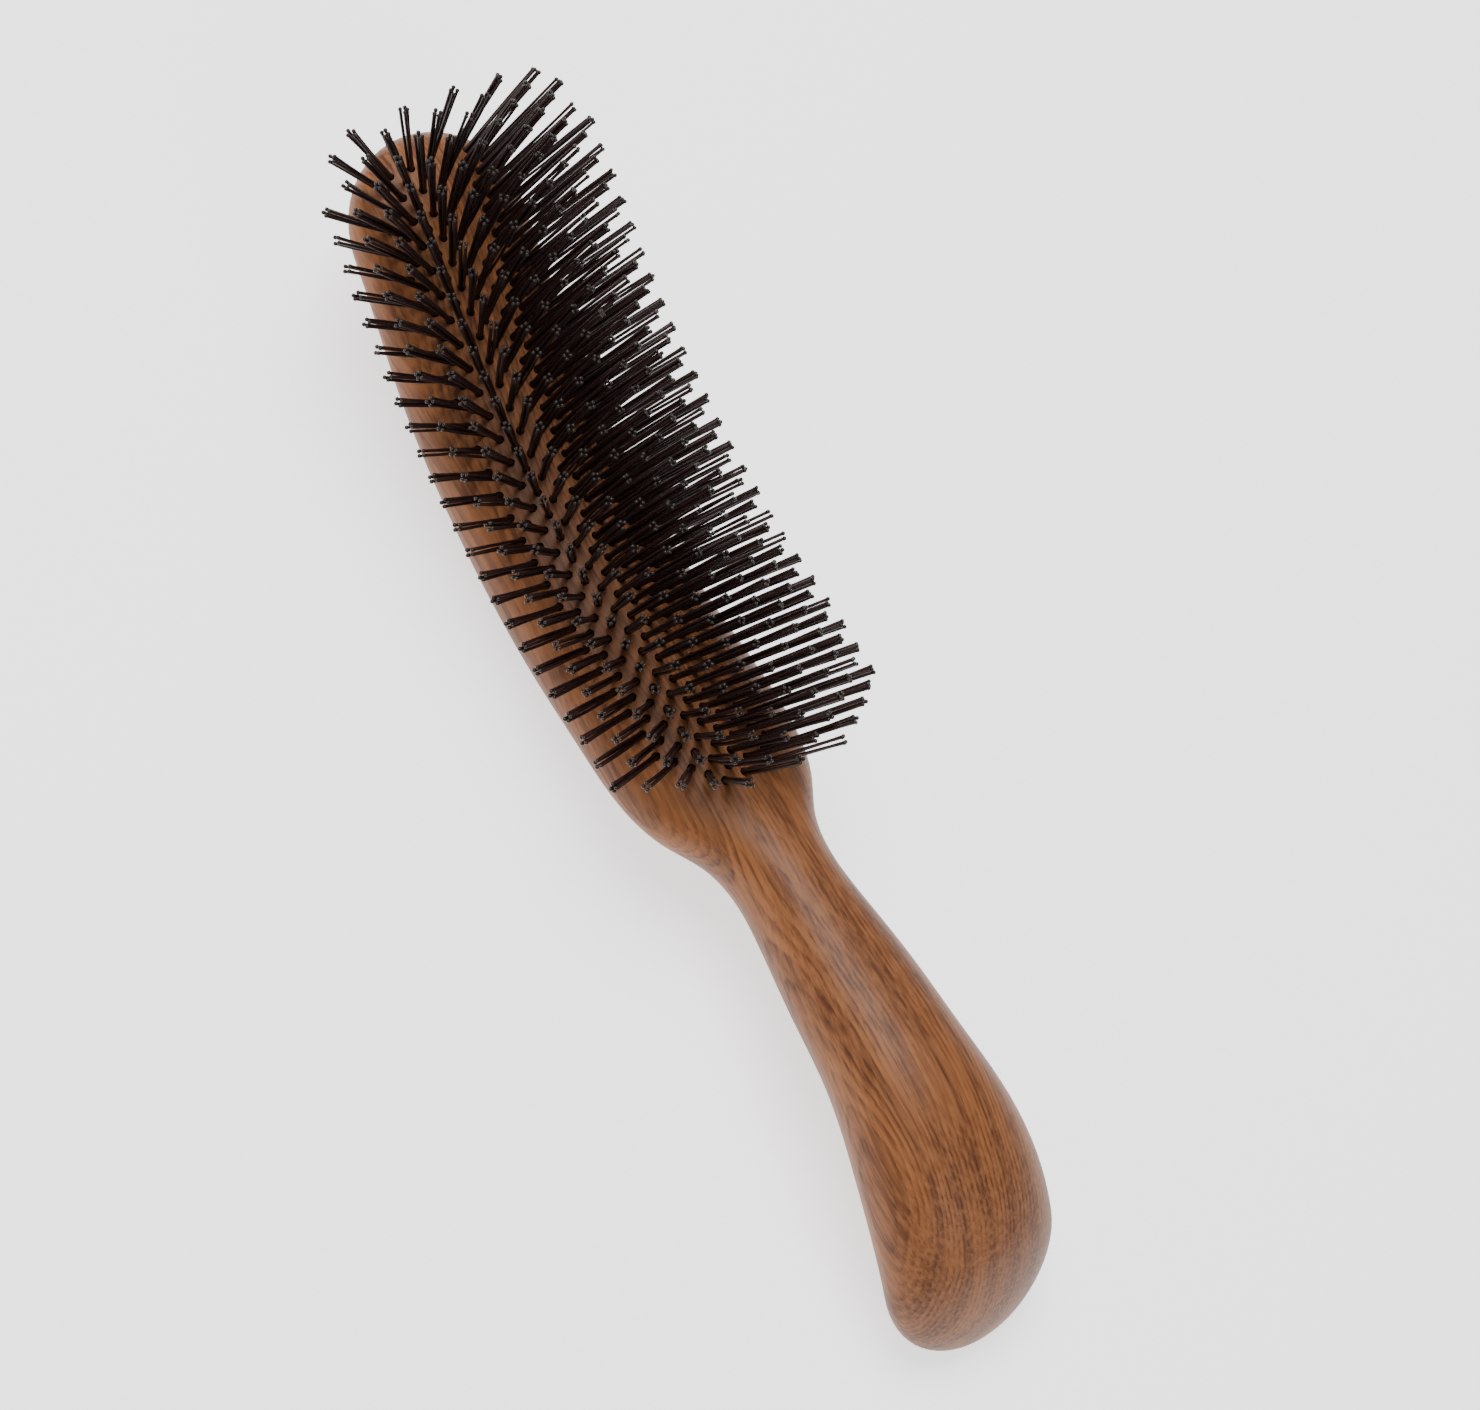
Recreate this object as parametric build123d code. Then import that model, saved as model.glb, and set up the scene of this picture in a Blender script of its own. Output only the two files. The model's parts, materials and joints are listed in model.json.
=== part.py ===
from build123d import *
import math
import os

# Wooden hairbrush with drilled tufts.
# Frame: millimetres, X along the brush with the head tip at +X, +Z on the bristle side.
# Every size is set while the brush lies along its carving axis, then the finished brush is
# tipped onto the two places it rests on: the belly of the head and the heel of the handle.

# ---- wood, overall sizes ----
overall_length = 215.0
head_width = 34.2            # widest place of the head, close to the shoulder
neck_width = 17.3
handle_width = 32.0          # widest place of the handle, close to its end
head_crown = 10.0            # bristle face above the widest level of the head
head_keel = 9.8              # belly below the widest level of the head
handle_crown = 10.6
handle_keel = 10.0
curve_height = 14.3          # how far the handle rises over the head tip; scales the whole S
tip_round = 16.0             # length over which the head tip closes to a point
heel_round = 14.0            # the same at the handle end
edge_fullness = 2.1          # 2 is an ellipse; more is squarer
flat_depth = 0.30            # how much is sanded off the belly and the heel to rest on

# ---- tufts ----
row_count = 13
side_margin = 6.0            # from the outermost rows to the widest outline of the head
fan_radius = 11.78           # the rows spread like spokes from a line this far under the face
tuft_pitch = 4.1             # along a row; every second row is half a pitch further on
field_start = 6.5            # first tufts, from the tip
field_end = 118.2            # last tufts, from the tip
field_corner = 7.0           # how much shorter the outermost rows stop
rim_margin = 4.6             # least distance from a tuft to the widest outline of the wood
upright_at = 70.0            # distance from the tip where tufts stand upright
lean_rate = 0.18             # degrees of lengthwise lean per millimetre away from there
tip_lean = 5.0               # extra lean of the very first tufts towards the tip
tip_lean_fade = 10.0         # distance over which that extra lean dies away

tuft_length = 18.5           # free length above the wood, to the end of the balls
bundle_gap = 0.08            # from the corners of the square bundle to the hole wall
bundle_height = 0.8          # how far they stay bunched above the wood
filament_diameter = 0.40
filament_ends = 4            # two filaments, each folded in the middle
root_spread = 0.31           # filament ends off the tuft's axis, where they part
tip_spread = 0.62            # the same at the tips
ball_diameter = 0.72
hole_diameter = 1.40
hole_depth = 5.4
bottom_gap = 0.10            # between the fold of a tuft and the bottom of its hole

# ---- anchors: flat wire pressed across each hole, the tuft folded over it ----
anchor_thickness = 0.26
anchor_height = 1.50
anchor_lift = 0.90           # underside of the anchor over the bottom of the hole
anchor_gap = 0.04            # all round, to the wood and to the tuft


# ---- shape of the wood, as functions of the distance s from the tip ----
def natural_spline(knots):
    """Smooth curve through (position, value) knots; returns a function of position."""
    xs, ys = [k[0] for k in knots], [k[1] for k in knots]
    n = len(xs)
    bend, upper, right = [0.0] * n, [0.0] * n, [0.0] * n
    for i in range(1, n - 1):
        before, after = xs[i] - xs[i - 1], xs[i + 1] - xs[i]
        slope_step = (ys[i + 1] - ys[i]) / after - (ys[i] - ys[i - 1]) / before
        pivot = 2 * (before + after) - before * upper[i - 1]
        upper[i] = after / pivot
        right[i] = (6 * slope_step - before * right[i - 1]) / pivot
    for i in range(n - 2, 0, -1):
        bend[i] = right[i] - upper[i] * bend[i + 1]

    def value(x):
        i = 0
        while i < n - 2 and x > xs[i + 1]:
            i += 1
        gap = xs[i + 1] - xs[i]
        a, b = (xs[i + 1] - x) / gap, (x - xs[i]) / gap
        curved = (a ** 3 - a) * bend[i] + (b ** 3 - b) * bend[i + 1]
        return a * ys[i] + b * ys[i + 1] + curved * gap * gap / 6
    return value


def along(*knots, unit=1.0):
    """Knots given as (percent of the length, share of a driving size)."""
    return natural_spline([(p * overall_length / 100, share * unit) for p, share in knots])


head_half, neck_half, handle_half = head_width / 2, neck_width / 2, handle_width / 2
shoulder_span = head_half - neck_half
handle_span = handle_half - neck_half

half_width = along(
    (0.0, 0.940 * head_half), (8.4, 0.925 * head_half), (19.0, 0.945 * head_half),
    (31.0, 0.955 * head_half), (42.0, 0.985 * head_half), (48.0, head_half),
    (52.0, 0.988 * head_half), (54.6, neck_half + 0.86 * shoulder_span),
    (57.0, neck_half + 0.61 * shoulder_span), (59.4, neck_half + 0.215 * shoulder_span),
    (61.3, neck_half + 0.045 * shoulder_span), (63.4, neck_half),
    (66.5, neck_half + 0.09 * handle_span), (72.0, neck_half + 0.31 * handle_span),
    (78.0, neck_half + 0.47 * handle_span), (84.0, neck_half + 0.77 * handle_span),
    (90.0, neck_half + 0.97 * handle_span), (94.0, handle_half), (100.0, 0.99 * handle_half))

neck_crown = 0.5 * neck_half + 0.38 * handle_crown
crown = along(
    (0.0, 0.70 * head_crown), (7.0, 0.77 * head_crown), (19.0, 0.93 * head_crown),
    (31.0, head_crown), (42.0, head_crown), (52.0, 0.95 * head_crown),
    (63.4, neck_crown), (71.0, 0.86 * handle_crown), (81.0, handle_crown),
    (88.5, handle_crown), (94.5, 0.91 * handle_crown), (100.0, 0.82 * handle_crown))
keel = along(
    (0.0, 0.66 * head_keel), (7.0, 0.74 * head_keel), (19.0, 0.92 * head_keel),
    (31.0, head_keel), (42.0, 0.98 * head_keel), (52.0, 0.92 * head_keel),
    (63.4, neck_crown), (71.0, 0.87 * handle_keel), (81.0, handle_keel),
    (88.5, handle_keel), (94.5, 0.91 * handle_keel), (100.0, 0.82 * handle_keel))
rise = along(
    (0.0, 0.08), (5.6, -0.04), (11.2, -0.25), (17.0, -0.49), (23.0, -0.63), (29.0, -0.67),
    (35.0, -0.61), (41.0, -0.44), (47.0, -0.18), (53.5, 0.09), (63.0, 0.51), (72.0, 0.81),
    (81.0, 1.0), (87.5, 0.90), (93.0, 0.58), (97.0, 0.18), (100.0, -0.15),
    unit=curve_height)


def closing(s):
    """Share of the full section left at s, falling to nothing at both rounded ends."""
    from_tip, from_heel = min(s / tip_round, 1.0), min((overall_length - s) / heel_round, 1.0)
    return math.sqrt(1 - (1 - from_tip) ** 2) * math.sqrt(1 - (1 - from_heel) ** 2)


def edge_curve(share):
    """Height of the rounded section, 1 on the centre line and 0 at the outline."""
    return max(0.0, 1 - abs(share) ** edge_fullness) ** (1 / edge_fullness)


def carving_x(s):
    return overall_length / 2 - s


def wood_section(s, points=16):
    left, top, bottom, level = half_width(s), crown(s), keel(s), rise(s)
    shut = closing(s)
    outline = []
    for i in range(points):
        angle = 2 * math.pi * i / points
        c, d = math.cos(angle), math.sin(angle)
        across = math.copysign(abs(c) ** (2 / edge_fullness), c) * left * shut
        up = math.copysign(abs(d) ** (2 / edge_fullness), d) * (top if d > 0 else bottom) * shut
        outline.append((carving_x(s), across, level + up))
    return Face(Wire([Spline(*outline, periodic=True)]))


def section_stations():
    """Close together at the shoulder and where the ends round over, wider apart elsewhere."""
    rounding = [1 - math.cos(math.radians(a)) for a in range(6, 91, 6)]
    stations = [tip_round * r for r in rounding]
    shoulder = (0.52 * overall_length, 0.66 * overall_length)
    heel = overall_length - heel_round
    step = 0.012 * overall_length
    while stations[-1] < heel - 1.5 * step:
        s = stations[-1]
        stations.append(s + (step / 2 if shoulder[0] < s < shoulder[1] else step))
    return stations + [overall_length - heel_round * r for r in reversed(rounding)]


def carve_wood():
    """Straight-sided strips between close sections: as smooth as needed, and light to drill."""
    ends = [Vertex(carving_x(s), 0, rise(s)) for s in (0, overall_length)]
    sections = [wood_section(s) for s in section_stations()]
    return loft([ends[0], *sections, ends[1]], ruled=True)


# ---- where the tufts stand ----
side_rows = (row_count - 1) / 2
row_pitch = (head_width / 2 - side_margin) / side_rows
row_fan = math.degrees(row_pitch / fan_radius)


def face_height(s, across):
    return rise(s) + crown(s) * closing(s) * edge_curve(across / (half_width(s) * closing(s)))


def lean(s):
    """Lengthwise lean in degrees, positive towards the tip."""
    return (upright_at - s) * lean_rate + tip_lean * math.exp((field_start - s) / tip_lean_fade)


def tuft_places(row):
    """Locations of one row's tufts: origin on the wood, Z along the bristles."""
    index = row - side_rows
    across = index * row_pitch
    last = field_end - field_corner * (index / side_rows) ** 2
    s = field_start + (0.5 * tuft_pitch if row % 2 else 0.0)
    places = []
    while s <= last:
        if abs(across) <= half_width(s) * closing(s) - rim_margin:
            place = Location((carving_x(s), across, face_height(s, across)))
            turned = place * Rotation(-index * row_fan, 0, 0) * Rotation(0, lean(s), 0)
            places.append(turned)
        s += tuft_pitch
    return places


# ---- one tuft, one anchor, one drill ----
anchor_bottom = anchor_lift - hole_depth


def make_anchor():
    width = hole_diameter - 2 * anchor_gap
    return Pos(0, 0, anchor_bottom) * Box(
        anchor_thickness, width, anchor_height, align=(Align.CENTER, Align.CENTER, Align.MIN))


def make_ball():
    """A small moulded ball as two cones between flats: round enough at this size."""
    r = ball_diameter / 2
    profile = Polyline((0, -0.8 * r), (0.72 * r, -0.8 * r), (r, 0), (0.72 * r, 0.8 * r),
                       (0, 0.8 * r), close=True)
    return revolve(Plane.XZ * make_face(profile), Axis.Z)


def make_tuft():
    """Filaments folded over the anchor and parting above the wood, as one closed solid."""
    bottom = bottom_gap - hole_depth
    bundle_width = (hole_diameter - 2 * bundle_gap) / math.sqrt(2)
    on_end = (Align.CENTER, Align.CENTER, Align.MIN)
    tuft = Pos(0, 0, bottom) * Box(bundle_width, bundle_width, bundle_height - bottom, align=on_end)
    ball = make_ball()
    for end in range(filament_ends):
        angle = 2 * math.pi * (end + 0.5) / filament_ends
        outward = Vector(math.cos(angle), math.sin(angle), 0)
        start = outward * root_spread + Vector(0, 0, bundle_height - 0.1)
        tip = outward * tip_spread + Vector(0, 0, tuft_length - 0.4 * ball_diameter)
        rod = Plane(origin=start, z_dir=tip - start) * Cylinder(
            filament_diameter / 2, (tip - start).length, align=on_end)
        tuft = tuft + rod + Pos(*tip) * ball
    slot = Pos(0, 0, anchor_bottom - anchor_gap) * Box(
        anchor_thickness + 2 * anchor_gap, 2 * hole_diameter, anchor_height + 2 * anchor_gap,
        align=on_end)
    return tuft - slot


def make_drill():
    above = 1.6
    return Pos(0, 0, -hole_depth) * Cylinder(
        hole_diameter / 2, hole_depth + above, align=(Align.CENTER, Align.CENTER, Align.MIN))


# ---- rest position ----
def resting_tilt():
    """Angle that puts the belly and the heel on one level: the lower tangent of the side view."""
    def lowest(s):
        return rise(s) - keel(s) * closing(s)
    steps = [overall_length * i / 800 for i in range(1, 800)]
    belly_side = [s for s in steps if s < 0.6 * overall_length]
    heel_side = [s for s in steps if s > 0.8 * overall_length]
    tilt = 0.0
    for _ in range(12):
        t = math.tan(tilt)
        belly = min(belly_side, key=lambda s: lowest(s) - t * s)
        heel = min(heel_side, key=lambda s: lowest(s) - t * s)
        tilt = math.atan((lowest(heel) - lowest(belly)) / (heel - belly))
    return math.degrees(tilt)


def solids_of(shape):
    return list(shape.solids())


wood = carve_wood()
drill, tuft, anchor = make_drill(), make_tuft(), make_anchor()
rows = [tuft_places(row) for row in range(row_count)]
wood = wood - [place * drill for row in rows for place in row]

tip_over = Rotation(0, -resting_tilt(), 0)
wood = tip_over * wood
floor = wood.bounding_box().min.Z + flat_depth
sanding = Pos(0, 0, floor) * Box(
    2 * overall_length, 4 * head_width, 20, align=(Align.CENTER, Align.CENTER, Align.MAX))
wood = wood - sanding

nodes = {"wood_body": wood}
for number, row in enumerate(rows, 1):
    nodes[f"tuft_row_{number:02d}"] = Compound([tip_over * (place * tuft) for place in row])
    nodes[f"anchor_row_{number:02d}"] = Compound([tip_over * (place * anchor) for place in row])

box = Compound([shape for shape in nodes.values()]).bounding_box()
to_origin = Pos(-box.center().X, -box.center().Y, -floor)

os.makedirs("parts", exist_ok=True)
for name, shape in nodes.items():
    export_step(to_origin * Compound(solids_of(shape)), f"parts/{name}.step")
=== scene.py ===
import bpy
import json
import math
import numpy as np
from mathutils import Matrix, Vector

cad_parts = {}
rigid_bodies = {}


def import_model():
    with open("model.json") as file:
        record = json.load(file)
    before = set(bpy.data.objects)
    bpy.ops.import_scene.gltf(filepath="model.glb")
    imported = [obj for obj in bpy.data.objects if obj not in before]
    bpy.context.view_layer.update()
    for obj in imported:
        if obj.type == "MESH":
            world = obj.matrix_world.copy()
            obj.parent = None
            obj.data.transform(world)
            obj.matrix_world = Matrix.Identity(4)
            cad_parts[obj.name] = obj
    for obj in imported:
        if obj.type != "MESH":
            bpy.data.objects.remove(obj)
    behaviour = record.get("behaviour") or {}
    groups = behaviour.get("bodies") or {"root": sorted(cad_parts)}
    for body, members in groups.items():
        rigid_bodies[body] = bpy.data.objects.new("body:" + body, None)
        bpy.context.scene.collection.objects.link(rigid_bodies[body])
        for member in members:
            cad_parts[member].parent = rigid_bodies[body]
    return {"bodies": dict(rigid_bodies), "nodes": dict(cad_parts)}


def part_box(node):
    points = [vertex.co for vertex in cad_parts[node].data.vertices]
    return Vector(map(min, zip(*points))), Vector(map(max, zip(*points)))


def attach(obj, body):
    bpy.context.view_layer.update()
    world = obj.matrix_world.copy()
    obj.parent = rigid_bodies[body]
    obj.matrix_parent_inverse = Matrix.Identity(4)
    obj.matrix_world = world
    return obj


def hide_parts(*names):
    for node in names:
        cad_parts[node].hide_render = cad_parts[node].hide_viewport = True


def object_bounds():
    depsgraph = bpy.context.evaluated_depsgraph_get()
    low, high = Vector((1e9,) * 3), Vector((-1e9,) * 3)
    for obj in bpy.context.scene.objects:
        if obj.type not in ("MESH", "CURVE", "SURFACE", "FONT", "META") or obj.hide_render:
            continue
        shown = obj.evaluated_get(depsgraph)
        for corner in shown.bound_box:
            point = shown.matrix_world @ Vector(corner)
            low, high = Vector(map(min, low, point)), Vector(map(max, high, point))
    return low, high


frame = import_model()
cad_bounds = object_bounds()

MM = 0.001
body = next(iter(frame["bodies"]))
wood = frame["nodes"]["wood_body"]
row_names = sorted(n for n in frame["nodes"] if n.startswith("tuft_row_"))
wood_low, wood_high = (Vector(corner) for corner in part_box("wood_body"))

# ---- how a tuft is made up ----
FREE_LENGTH = 18.5 * MM          # bristle above the wood
ROOT_DEPTH = 1.6 * MM            # how far down its hole a bristle is still shown
BRISTLES_PER_TUFT = 4
BRISTLE_RADIUS = 0.26 * MM
BALL_RADIUS = 0.36 * MM
ROOT_SPREAD = 0.30 * MM          # bristle centres from the tuft's axis, at the lower ends
TIP_SPREAD = 0.56 * MM           # the same at the tips
CURL = 0.22 * MM                 # how far a bristle bows off straight
UNEVEN_LENGTH = 0.45 * MM        # the most a bristle may fall short of its full length
UNEVEN_TURN = 0.35               # radians a bristle may stand off its even place in the tuft
SHAFT_RINGS, SHAFT_SIDES = 5, 6
BALL_SEGMENTS, BALL_RINGS = 8, 5
BALL_LIFT = 100.0                # where the ball hangs in the template, far over the unit shaft
FIRST_SEED = 41                  # for row 1; each further row takes the next

# ---- the wood's grain, in metres ----
HEART_ACROSS, HEART_UP = 0.055, 0.036    # the tree's heart: beside the brush, over the table
HEART_SWERVE, HEART_CLIMB = 0.05, 0.02   # its drift sideways and upwards per metre of brush
RINGS_PER_METRE = 1150.0
SWAY, RIPPLE = 9.0, 1.3                  # range of its slow and quick wandering, in rings
WIDE_BAND = 0.17                         # broad bands for each ring
WOOD_PALE, WOOD_DEEP = (0.27, 0.097, 0.033, 1), (0.155, 0.054, 0.020, 1)
BAND_BROWN = (0.085, 0.029, 0.012, 1)
RING_BROWN = (0.045, 0.014, 0.006, 1)
FIBRE_GOLD = (0.39, 0.158, 0.060, 1)
PORE_BROWN = (0.05, 0.015, 0.006, 1)
RELIEF_DEPTH = 0.15 * MM


# ---- shader maths ----
class Wire:
    """A shader socket that can be added to, multiplied and mixed in plain expressions."""

    def __init__(self, tree, out):
        self.tree, self.out = tree, out

    def put(self, socket, value):
        if isinstance(value, Wire):
            value = value.out
        if isinstance(value, bpy.types.NodeSocket):
            self.tree.links.new(value, socket)
        else:
            socket.default_value = value

    def node(self, kind, settings=None, *values, **named):
        made = self.tree.nodes.new(kind)
        for key, value in (settings or {}).items():
            setattr(made, key, value)
        for socket, value in zip(made.inputs, values):
            if value is not None:
                self.put(socket, value)
        for key, value in named.items():
            self.put(made.inputs[key], value)
        return made

    def math(self, operation, *values):
        made = self.node("ShaderNodeMath", {"operation": operation}, *values)
        return Wire(self.tree, made.outputs[0])

    def __add__(self, other): return self.math("ADD", self, other)
    def __radd__(self, other): return self.math("ADD", other, self)
    def __sub__(self, other): return self.math("SUBTRACT", self, other)
    def __rsub__(self, other): return self.math("SUBTRACT", other, self)
    def __mul__(self, other): return self.math("MULTIPLY", self, other)
    def __pow__(self, other): return self.math("POWER", self, other)

    def ramp(self, low, high, start=0.0, end=1.0):
        """Smooth step from start to end as the value goes from low to high."""
        made = self.node("ShaderNodeMapRange", {"interpolation_type": "SMOOTHSTEP"},
                         self, low, high, start, end)
        return Wire(self.tree, made.outputs[0])

    def mix(self, first, second):
        """Colour between first and second, by this value."""
        made = self.tree.nodes.new("ShaderNodeMix")
        made.data_type = "RGBA"
        self.put(made.inputs[0], self)
        self.put(made.inputs[6], first)
        self.put(made.inputs[7], second)
        return Wire(self.tree, made.outputs[2])


def new_material(name, colour, roughness):
    material = bpy.data.materials.new(name)
    material.use_nodes = True
    material.diffuse_color = (*colour, 1.0)
    tree = material.node_tree
    shader = tree.nodes["Principled BSDF"]
    shader.inputs["Base Color"].default_value = (*colour, 1.0)
    shader.inputs["Roughness"].default_value = roughness
    return material, Wire(tree, None), shader


def object_place(w):
    return Wire(w.tree, w.node("ShaderNodeTexCoord").outputs["Object"])


def noise(w, vector, scale, detail=2.0, rough=0.5):
    made = w.node("ShaderNodeTexNoise", None, Vector=vector, Scale=scale, Detail=detail,
                  Roughness=rough)
    return Wire(w.tree, made.outputs["Fac"])


def streaks(w, place, lengthwise, crosswise, detail=2.0, rough=0.5):
    """Noise drawn out along the brush; both rates are in cells per metre."""
    rates = (lengthwise, crosswise, crosswise)
    made = w.node("ShaderNodeVectorMath", {"operation": "MULTIPLY"}, place, rates)
    return noise(w, Wire(w.tree, made.outputs[0]), 1.0, detail, rough)


def lacquered_wood():
    """Rings of a tree whose heart lies off to one side, cut by the carved surface."""
    material, w, shader = new_material("lacquered_wood", (0.36, 0.15, 0.065), 0.36)
    place = object_place(w)
    parts = w.node("ShaderNodeSeparateXYZ", None, place)
    x, y, z = (Wire(w.tree, parts.outputs[i]) for i in range(3))

    sway = streaks(w, place, 9.0, 34.0) - 0.5
    ripple = streaks(w, place, 38.0, 150.0) - 0.5
    across = y - HEART_ACROSS + x * HEART_SWERVE
    up = z - HEART_UP - x * HEART_CLIMB
    radius = (across ** 2.0 + up ** 2.0) ** 0.5
    ring = radius * RINGS_PER_METRE + sway * SWAY + ripple * RIPPLE
    phase = w.math("FRACT", ring)
    late = phase.ramp(0.20, 0.85) * phase.ramp(0.85, 1.0, 1.0, 0.0)
    fading = streaks(w, place, 11.0, 110.0).ramp(0.36, 0.62)
    wide = w.math("FRACT", ring * WIDE_BAND + sway * 1.5 + 0.2)
    wide_band = wide.ramp(0.25, 0.80) * wide.ramp(0.80, 1.0, 1.0, 0.0)
    patch = streaks(w, place, 16.0, 60.0, 3.0)
    fibre = streaks(w, place, 90.0, 1500.0, 3.0, 0.6)
    pores = streaks(w, place, 160.0, 2600.0, 1.0).ramp(0.62, 0.74)

    colour = patch.ramp(0.32, 0.70).mix(WOOD_PALE, WOOD_DEEP)
    colour = (wide_band * 0.62).mix(colour, BAND_BROWN)
    colour = (late * (fading * 0.50 + 0.26)).mix(colour, RING_BROWN)
    colour = (fibre.ramp(0.36, 0.66) * 0.40).mix(colour, FIBRE_GOLD)
    colour = (pores * 0.38).mix(colour, PORE_BROWN)
    w.put(shader.inputs["Base Color"], colour)
    w.put(shader.inputs["Roughness"], 0.44 + pores * 0.12 + fibre * 0.06)
    relief = w.node("ShaderNodeBump", None, Strength=0.10, Distance=RELIEF_DEPTH,
                    Height=fibre * 0.5 - pores * 0.7)
    w.put(shader.inputs["Normal"], relief.outputs[0])
    shader.inputs["Specular IOR Level"].default_value = 0.20
    shader.inputs["Coat Weight"].default_value = 0.05
    shader.inputs["Coat Roughness"].default_value = 0.28
    return material


def bristle_nylon():
    """Dark reddish nylon; the moulded ball at each tip is glossier than the shaft."""
    material, w, shader = new_material("bristle_nylon", (0.022, 0.013, 0.011), 0.30)
    ball = w.node("ShaderNodeAttribute", {"attribute_name": "ball"})
    ball = Wire(w.tree, ball.outputs["Fac"])
    place = object_place(w)
    uneven = noise(w, place, 420.0, 1.0)
    shaft = uneven.mix((0.016, 0.006, 0.005, 1), (0.036, 0.015, 0.013, 1))
    tip = uneven.mix((0.010, 0.006, 0.005, 1), (0.026, 0.016, 0.012, 1))
    w.put(shader.inputs["Base Color"], ball.mix(shaft, tip))
    w.put(shader.inputs["Roughness"], 0.46 - ball * 0.18)
    shader.inputs["Specular IOR Level"].default_value = 0.35
    shader.inputs["IOR"].default_value = 1.53
    return material


def anchor_wire():
    material, w, shader = new_material("anchor_wire", (0.72, 0.55, 0.28), 0.35)
    place = object_place(w)
    w.put(shader.inputs["Roughness"], 0.30 + noise(w, place, 900.0) * 0.15)
    shader.inputs["Metallic"].default_value = 1.0
    return material


# ---- where the tufts stand, read from the CAD solids ----
END_SLICE = 0.03 * MM            # points this near either end of a tuft give its axis


def tufts_of(node):
    """(root, axis) of every loose solid in a node's mesh, from the handle to the tip."""
    mesh = frame["nodes"][node].data
    points = np.empty(len(mesh.vertices) * 3)
    mesh.vertices.foreach_get("co", points)
    points = points.reshape(-1, 3)
    keys, same = np.unique(np.round(points, 7), axis=0, return_inverse=True)
    same = same.reshape(-1)
    leader = list(range(len(keys)))

    def find(i):
        while leader[i] != i:
            leader[i] = leader[leader[i]]
            i = leader[i]
        return i

    for edge in mesh.edges:
        a, b = find(same[edge.vertices[0]]), find(same[edge.vertices[1]])
        if a != b:
            leader[a] = b
    groups = {}
    for i in range(len(keys)):
        groups.setdefault(find(i), []).append(i)
    found = []
    for members in groups.values():
        solid = keys[members]
        middle = (solid.max(axis=0) + solid.min(axis=0)) / 2
        axis = np.linalg.svd(solid - middle, full_matrices=False)[2][0]
        axis = axis if axis[2] > 0 else -axis
        reach = (solid - middle) @ axis
        # the axis runs through the middles of the two ends
        top = solid[reach > reach.max() - END_SLICE].mean(axis=0)
        bottom = solid[reach < reach.min() + END_SLICE].mean(axis=0)
        axis = (top - bottom) / np.linalg.norm(top - bottom)
        found.append((Vector(top - axis * FREE_LENGTH), Vector(axis)))
    return sorted(found, key=lambda t: t[0].x)


# ---- bristles ----
class Grower:
    """Short way to add Geometry Nodes to one tree."""

    def __init__(self, name):
        self.tree = bpy.data.node_groups.new(name, "GeometryNodeTree")

    def socket(self, name, kind, way="INPUT"):
        return self.tree.interface.new_socket(name=name, in_out=way, socket_type=kind).identifier

    def add(self, kind, settings=None, **inputs):
        node = self.tree.nodes.new(kind)
        for key, value in (settings or {}).items():
            setattr(node, key, value)
        for key, value in inputs.items():
            socket = node.inputs[int(key[1:])] if key[0] == "i" and key[1:].isdigit() \
                else node.inputs[key.replace("_", " ")]
            if isinstance(value, bpy.types.NodeSocket):
                self.tree.links.new(value, socket)
            else:
                socket.default_value = value
        return node

    def store(self, geometry, name, kind, value):
        """Keep a value on the points of a geometry under a name."""
        made = self.add("GeometryNodeStoreNamedAttribute", {"data_type": kind, "domain": "POINT"},
                        Geometry=geometry)
        made.inputs["Name"].default_value = name
        if isinstance(value, bpy.types.NodeSocket):
            self.tree.links.new(value, made.inputs["Value"])
        else:
            made.inputs["Value"].default_value = value
        return made.outputs[0]

    def maths(self, operation, a, b=0.0):
        return self.add("ShaderNodeMath", {"operation": operation}, i0=a, i1=b).outputs[0]

    def vector(self, operation, a, b):
        node = self.add("ShaderNodeVectorMath", {"operation": operation}, i0=a)
        self.tree.links.new(b, node.inputs["Scale" if operation == "SCALE" else 1])
        return node.outputs[0]


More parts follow.
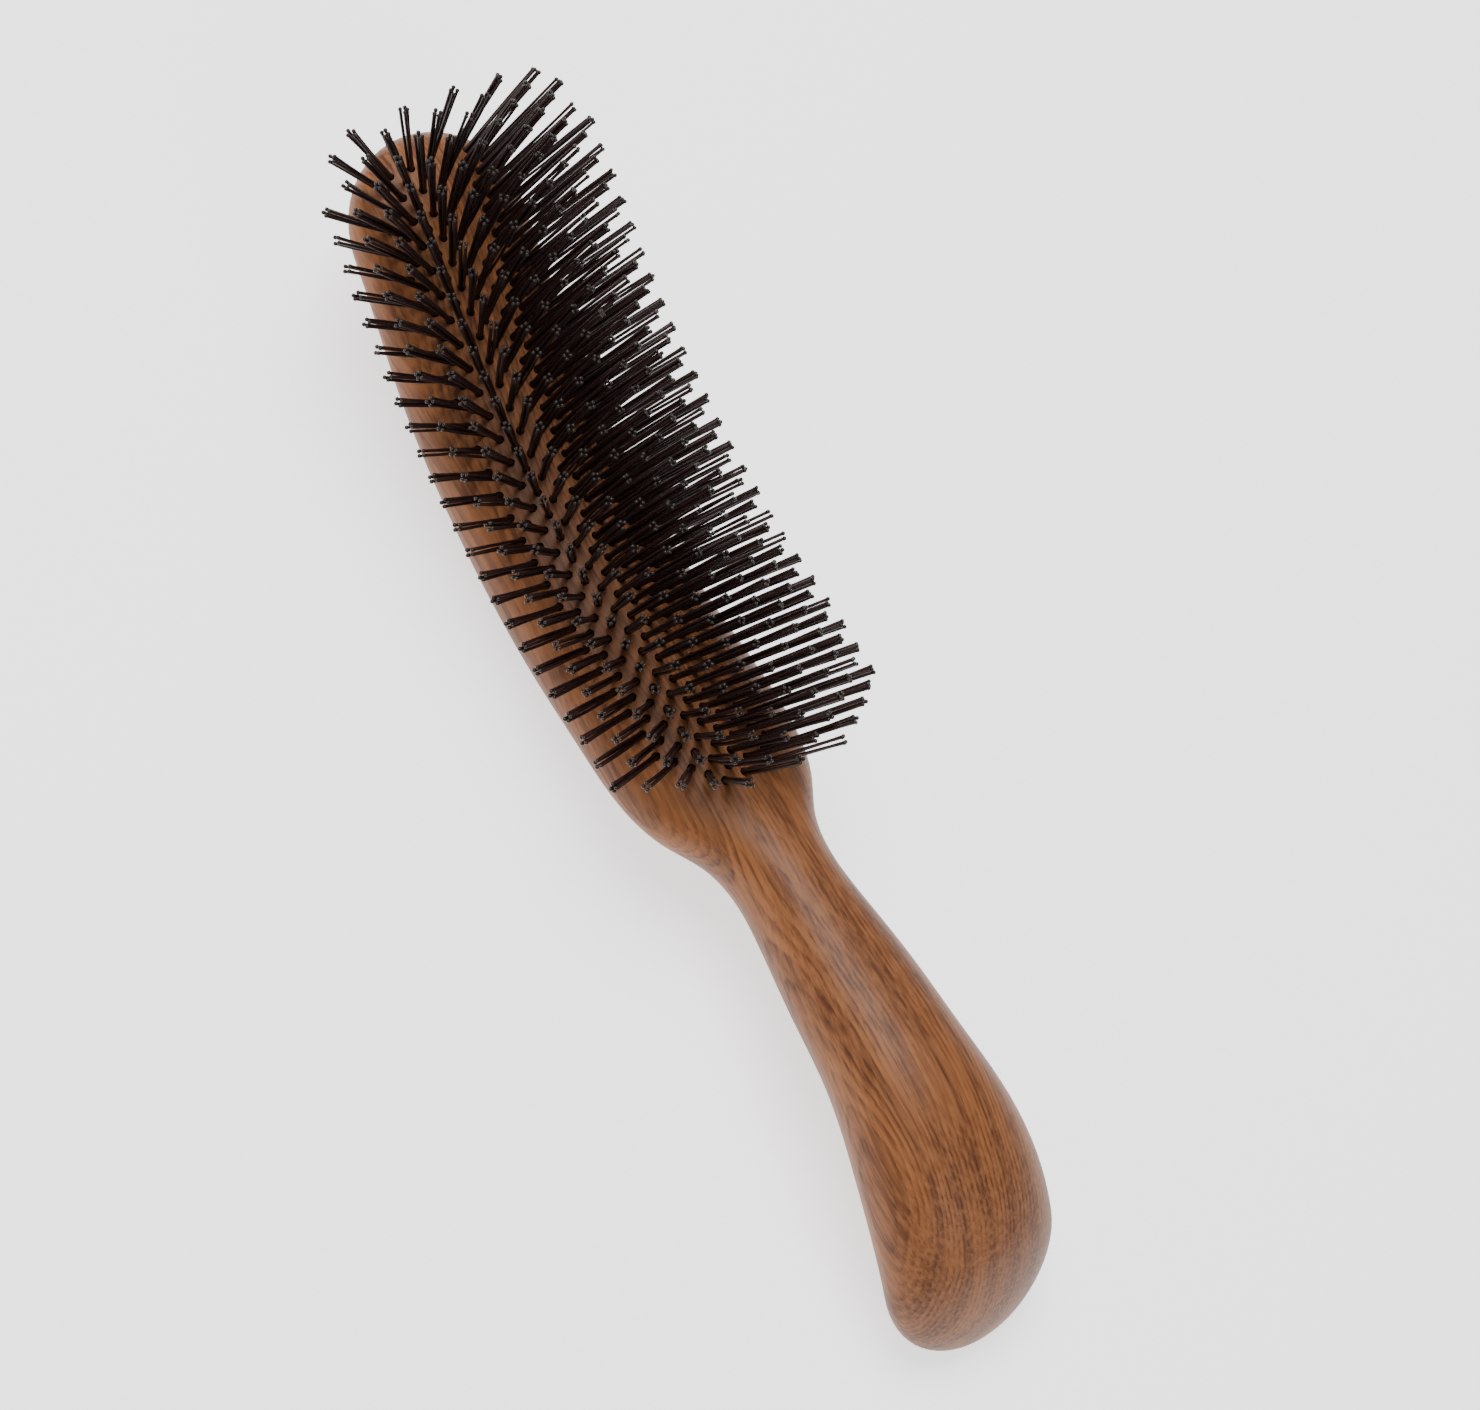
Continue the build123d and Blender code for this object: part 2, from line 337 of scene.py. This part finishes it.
def bristle_tree(material):
    """One point per tuft in; a spray of ball-tipped bristles out."""
    g = Grower("bristles")
    g.socket("Tufts", "NodeSocketGeometry")
    seed_key = g.socket("Seed", "NodeSocketInt")
    g.socket("Bristles", "NodeSocketGeometry", "OUTPUT")
    start = g.tree.nodes.new("NodeGroupInput")
    end = g.tree.nodes.new("NodeGroupOutput")

    spray = g.add("GeometryNodeDuplicateElements", {"domain": "POINT"},
                  Geometry=start.outputs["Tufts"], Amount=BRISTLES_PER_TUFT)
    copy_number = spray.outputs["Duplicate Index"]
    index = g.add("GeometryNodeInputIndex").outputs[0]

    def random(low, high, shift):
        seed = g.maths("ADD", start.outputs["Seed"], float(shift))
        made = g.add("FunctionNodeRandomValue", {"data_type": "FLOAT"})
        made.inputs[2].default_value, made.inputs[3].default_value = low, high
        g.tree.links.new(index, made.inputs["ID"])
        g.tree.links.new(seed, made.inputs["Seed"])
        return made.outputs[1]

    def named(name, kind="FLOAT_VECTOR"):
        made = g.add("GeometryNodeInputNamedAttribute", {"data_type": kind})
        made.inputs["Name"].default_value = name
        return made.outputs["Attribute"]

    axis, side, over = named("axis"), named("side"), named("over")
    turn = g.maths("ADD", g.maths("MULTIPLY", copy_number, 2 * math.pi / BRISTLES_PER_TUFT),
                   g.maths("ADD", named("twist", "FLOAT"), random(-UNEVEN_TURN, UNEVEN_TURN, 1)))
    outward = g.vector("ADD", g.vector("SCALE", side, g.maths("COSINE", turn)),
                       g.vector("SCALE", over, g.maths("SINE", turn)))

    # one straight shaft and one ball, both of unit size, are the template of every bristle
    line = g.add("GeometryNodeMeshLine", {"mode": "OFFSET"}, Count=SHAFT_RINGS)
    line.inputs["Offset"].default_value = (0, 0, 1.0 / (SHAFT_RINGS - 1))
    shaft_line = g.add("GeometryNodeMeshToCurve", Mesh=line.outputs[0])
    ring = g.add("GeometryNodeCurvePrimitiveCircle", {"mode": "RADIUS"}, Resolution=SHAFT_SIDES)
    ring.inputs["Radius"].default_value = 1.0
    shaft = g.add("GeometryNodeCurveToMesh", Curve=shaft_line.outputs[0],
                  Profile_Curve=ring.outputs[0], Fill_Caps=True)
    ball = g.add("GeometryNodeMeshUVSphere", Segments=BALL_SEGMENTS, Rings=BALL_RINGS)
    ball.inputs["Radius"].default_value = 1.0
    ball_up = g.add("GeometryNodeTransform", Geometry=ball.outputs[0])
    ball_up.inputs["Translation"].default_value = (0, 0, BALL_LIFT)
    template = g.add("GeometryNodeJoinGeometry")
    for shape, mark in ((shaft, 0.0), (ball_up, 1.0)):
        g.tree.links.new(g.store(shape.outputs[0], "ball", "FLOAT", mark), template.inputs[0])
    position = g.add("GeometryNodeInputPosition").outputs[0]
    kept = g.store(template.outputs[0], "local", "FLOAT_VECTOR", position)

    sprout = g.store(spray.outputs[0], "outward", "FLOAT_VECTOR", outward)
    sprout = g.store(sprout, "bow", "FLOAT", random(-1.0, 1.0, 2))
    sprout = g.store(sprout, "short", "FLOAT", random(0.0, UNEVEN_LENGTH, 3))
    sprout = g.store(sprout, "root", "FLOAT_VECTOR", position)

    planted = g.add("GeometryNodeInstanceOnPoints", Points=sprout, Instance=kept)
    solid = g.add("GeometryNodeRealizeInstances", Geometry=planted.outputs[0])

    # every point is placed from its template position: up the bristle's own bowed line, then
    # outwards from that line by the thickness of the shaft or the ball
    parts = g.add("ShaderNodeSeparateXYZ", None, Vector=named("local"))
    is_ball = named("ball", "FLOAT")
    height = parts.outputs[2]
    share = g.maths("MINIMUM", height, 1.0)
    length = g.maths("SUBTRACT", FREE_LENGTH - BALL_RADIUS, named("short", "FLOAT"))
    in_ball = g.maths("MULTIPLY", g.maths("SUBTRACT", height, BALL_LIFT), BALL_RADIUS)
    on_shaft = g.maths("MULTIPLY", share, g.maths("ADD", length, ROOT_DEPTH))
    rise = g.maths("ADD", g.maths("SUBTRACT", on_shaft, ROOT_DEPTH),
                   g.maths("MULTIPLY", in_ball, is_ball))
    thick = g.maths("ADD", g.maths("MULTIPLY", is_ball, BALL_RADIUS - BRISTLE_RADIUS),
                    BRISTLE_RADIUS)
    spread = g.maths("ADD", g.maths("MULTIPLY", share, TIP_SPREAD - ROOT_SPREAD), ROOT_SPREAD)
    bulge = g.maths("MULTIPLY", share, g.maths("SUBTRACT", 1.0, share))
    bulge = g.maths("MULTIPLY", bulge, 4 * CURL)
    spread = g.maths("ADD", spread, g.maths("MULTIPLY", bulge, named("bow", "FLOAT")))
    place = named("root")
    for direction, distance in (
            (named("axis"), rise), (named("outward"), spread),
            (named("side"), g.maths("MULTIPLY", parts.outputs[0], thick)),
            (named("over"), g.maths("MULTIPLY", parts.outputs[1], thick))):
        place = g.vector("ADD", place, g.vector("SCALE", direction, distance))
    laid = g.add("GeometryNodeSetPosition", Geometry=solid.outputs[0], Position=place)
    painted = g.add("GeometryNodeSetMaterial", Geometry=laid.outputs[0], Material=material)
    g.tree.links.new(painted.outputs[0], end.inputs[0])
    return g.tree, seed_key


def tuft_points(name, tufts, rng):
    """A mesh of one vertex per tuft, with the directions its bristles need."""
    mesh = bpy.data.meshes.new(name)
    mesh.from_pydata([root for root, _ in tufts], [], [])
    columns = {"axis": [], "side": [], "over": []}
    for _, axis in tufts:
        side = axis.cross(Vector((0, 1, 0))).normalized()
        columns["axis"].append(axis)
        columns["side"].append(side)
        columns["over"].append(axis.cross(side))
    for key, values in columns.items():
        layer = mesh.attributes.new(key, "FLOAT_VECTOR", "POINT")
        layer.data.foreach_set("vector", [c for v in values for c in v])
    layer = mesh.attributes.new("twist", "FLOAT", "POINT")
    layer.data.foreach_set("value", list(rng.uniform(0.0, math.pi / 2, len(tufts))))
    return mesh


def grow_row(name, node, tree, seed_key, seed):
    rng = np.random.default_rng(seed)
    points = tuft_points(name + "_points", tufts_of(node), rng)
    source = bpy.data.objects.new(name + "_source", points)
    bpy.context.scene.collection.objects.link(source)
    modifier = source.modifiers.new("bristles", "NODES")
    modifier.node_group = tree
    modifier[seed_key] = seed
    bpy.context.view_layer.update()
    evaluated = source.evaluated_get(bpy.context.evaluated_depsgraph_get())
    mesh = bpy.data.meshes.new_from_object(evaluated)
    mesh.name = name
    bpy.data.objects.remove(source)
    for spare in ("local", "outward", "bow", "short", "root", "axis", "side", "over", "twist"):
        if spare in mesh.attributes:
            mesh.attributes.remove(mesh.attributes[spare])
    mesh.shade_smooth()
    row = bpy.data.objects.new(name, mesh)
    bpy.context.scene.collection.objects.link(row)
    return row


# ---- build ----
wood.data.materials.clear()
wood.data.materials.append(lacquered_wood())
nylon = bristle_nylon()
tree, seed_key = bristle_tree(nylon)
for number, node in enumerate(row_names, 1):
    row = grow_row(f"bristles_{number:02d}", node, tree, seed_key, FIRST_SEED + number - 1)
    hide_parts(node)
    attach(row, body)
brass = anchor_wire()
for name, node in frame["nodes"].items():
    if name.startswith("anchor_row_"):
        node.data.materials.clear()
        node.data.materials.append(brass)


# ---- floor, light and camera ----
FLOOR_REACH = 40.0               # metres each way from the brush
FLOOR_DROP = 0.2 * MM            # keeps the floor clear of the flats the brush lies on


def floor():
    mesh = bpy.data.meshes.new("floor")
    r = FLOOR_REACH
    mesh.from_pydata([(-r, -r, 0), (r, -r, 0), (r, r, 0), (-r, r, 0)], [], [(0, 1, 2, 3)])
    thing = bpy.data.objects.new("floor", mesh)
    bpy.context.scene.collection.objects.link(thing)
    material, _, shader = new_material("floor", (0.9, 0.9, 0.9), 0.9)
    shader.inputs["Emission Color"].default_value = (1, 1, 1, 1)
    shader.inputs["Emission Strength"].default_value = 1.5
    mesh.materials.append(material)
    thing.location.z = -FLOOR_DROP
    return thing


def softbox(name, towards, distance, size, power):
    """An area light that hangs in direction towards from the brush and faces it."""
    light = bpy.data.lights.new(name, "AREA")
    light.shape, light.size, light.energy = "DISK", size, power
    lamp = bpy.data.objects.new(name, light)
    direction = Vector(towards).normalized()
    lamp.location = middle + direction * distance
    lamp.rotation_euler = direction.to_track_quat("Z", "Y").to_euler()
    bpy.context.scene.collection.objects.link(lamp)
    return lamp


middle = (Vector(cad_bounds[0]) + Vector(cad_bounds[1])) / 2

# the camera looks down on the bristles from one side of the brush, and a little from the handle
ROLL, PITCH, TURN = math.radians(29), math.radians(3), math.radians(26.03)
TILT = math.radians(5.6)              # of the brush's carving axis above the table
DISTANCE = 0.60
SENSOR_WIDTH = 36
LENS = 0.1514 * DISTANCE * 1000       # keeps the brush the same size at any distance
AIM_ALONG, AIM_BESIDE = 0.35 * MM, 8.57 * MM     # from the middle of the wood
length_axis = Vector((math.cos(TILT), 0, math.sin(TILT)))
up_axis = Vector((-math.sin(TILT), 0, math.cos(TILT)))
to_camera = (-math.sin(PITCH) * length_axis + math.cos(PITCH) * math.sin(ROLL) * Vector((0, 1, 0))
             + math.cos(PITCH) * math.cos(ROLL) * up_axis)
along = (length_axis - length_axis.dot(to_camera) * to_camera).normalized()
beside = along.cross(to_camera)
camera_up = math.cos(TURN) * along + math.sin(TURN) * beside
camera_right = math.cos(TURN) * beside - math.sin(TURN) * along
centre = (wood_low + wood_high) / 2
aim = centre + along * AIM_ALONG + beside * AIM_BESIDE
camera = bpy.data.objects.new("camera", bpy.data.cameras.new("camera"))
camera.data.lens = LENS
camera.data.sensor_width = SENSOR_WIDTH
camera.data.clip_start, camera.data.clip_end = 0.01, 20
pose = Matrix((camera_right, camera_up, to_camera)).transposed().to_4x4()
pose.translation = aim + to_camera * DISTANCE
camera.matrix_world = pose
bpy.context.scene.collection.objects.link(camera)
bpy.context.scene.camera = camera

world = bpy.data.worlds.new("studio")
world.use_nodes = True
backdrop = world.node_tree.nodes["Background"]
backdrop.inputs["Color"].default_value = (1, 1, 1, 1)
backdrop.inputs["Strength"].default_value = 0.28
bpy.context.scene.world = world
floor()
softbox("key", camera_up * 0.9 + to_camera * 1.1 + camera_right * 0.15, 1.1, 0.75, 15)
softbox("fill", to_camera + camera_right * 0.9 - camera_up * 0.8, 1.3, 0.8, 3.5)
